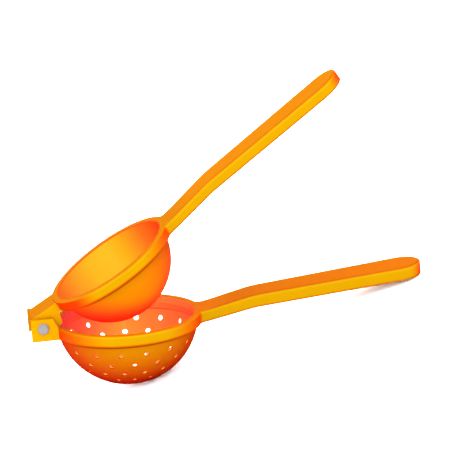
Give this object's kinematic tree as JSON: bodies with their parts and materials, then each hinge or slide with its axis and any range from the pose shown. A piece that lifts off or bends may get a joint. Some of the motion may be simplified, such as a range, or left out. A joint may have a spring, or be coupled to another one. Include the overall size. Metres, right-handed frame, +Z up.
{
  "type": "hand citrus press",
  "caption": "Hand citrus press with a perforated bowl and a pressing dome hinged on a headed pin, two flared handles",
  "frame": {"origin": "on the table, under the middle of the press as it lies open", "axes": "+X along the handles from the hinge, +Y along the hinge pin, +Z up; the press rests on the bottom of its bowl and the end of its lower handle"},
  "size_m": [0.2306, 0.088, 0.1344],
  "materials": {
    "frame_enamel": "glossy enamel on cast metal",
    "bowl_enamel": "glossy enamel on sheet metal",
    "pin_steel": "satin steel",
    "bush_plastic": "plain moulded plastic"
  },
  "bodies": {
    "lower": {"lower_frame": "frame_enamel", "strainer_bowl": "bowl_enamel", "hinge_pin": "pin_steel", "pin_cap": "pin_steel"},
    "upper": {"upper_frame": "frame_enamel", "press_dome": "bowl_enamel", "hinge_bush_front": "bush_plastic", "hinge_bush_back": "bush_plastic"}
  },
  "joints": [
    {"name": "press_hinge", "type": "hinge", "parent": "lower", "child": "upper", "pos_m": [-0.10648, 0, 0.05534], "axis": [0, -1, 0], "range_deg": [-30, 120]}
  ]
}
